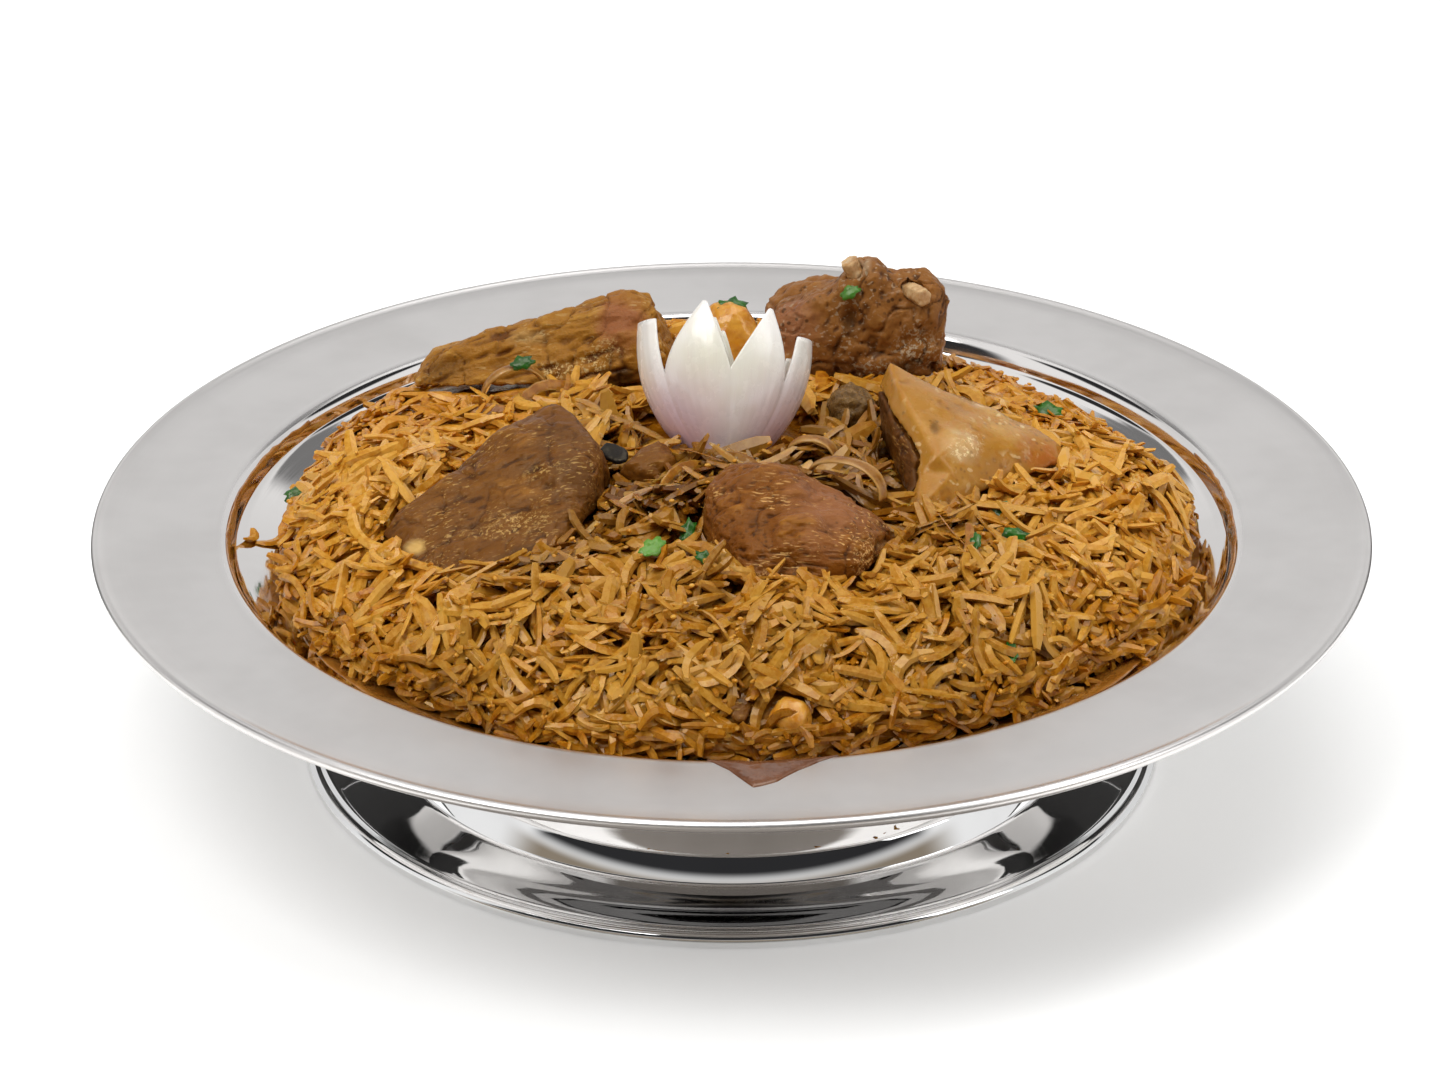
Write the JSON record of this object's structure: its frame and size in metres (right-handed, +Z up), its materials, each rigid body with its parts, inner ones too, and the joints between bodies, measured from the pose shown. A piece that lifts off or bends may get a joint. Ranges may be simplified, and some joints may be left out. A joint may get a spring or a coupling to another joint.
{
  "type": "plate of stewed meat on rice",
  "caption": "Round steel dish on a spun foot, heaped with golden long-grain rice, pieces of stewed meat, and a raw onion cut as a flower.",
  "frame": {"origin": "middle of the foot ring, on the surface that it stands on", "axes": "+Z up, +X to the right and -Y to the front of the dish, where the front pieces of meat lie"},
  "size_m": [0.35, 0.35, 0.1288],
  "materials": {
    "satin_steel": "satin rim, polished well",
    "polished_steel": "mirror polished",
    "rice": "cooked long grains, moist and golden",
    "brown_meat": "stewed meat, moist, with short fibres",
    "golden_meat": "stewed meat, moist, with long fibres",
    "red_brown_meat": "stewed meat, moist, with cross fibres",
    "bone": "boiled bone, pale and dull",
    "golden_lump": "soft golden lump, glazed",
    "spice_lump": "rough peppery lump",
    "dark_peel": "dark dried peel, glazed",
    "soft_fat": "soft translucent fat, glazed",
    "stewed_onion": "stewed onion, glazed",
    "raw_onion": "raw onion, white with pink flush"
  },
  "bodies": {
    "root": {"dish": "satin_steel", "foot": "polished_steel", "rice": "rice", "meat_front_left": "brown_meat", "meat_back_left": "golden_meat", "meat_back_right": "brown_meat", "rib_bone": "bone", "meat_front_middle": "red_brown_meat", "meat_scrap_middle": "brown_meat", "meat_scrap_front": "brown_meat", "golden_lump_back": "golden_lump", "golden_lump_front": "golden_lump", "spice_lump": "spice_lump", "lime_peel": "dark_peel", "fat_layer_right": "soft_fat", "meat_right": "red_brown_meat", "onion_strip_back_left": "stewed_onion", "onion_strip_loop": "stewed_onion", "onion_strip_right": "stewed_onion", "onion_flower": "raw_onion"}
  },
  "joints": []
}
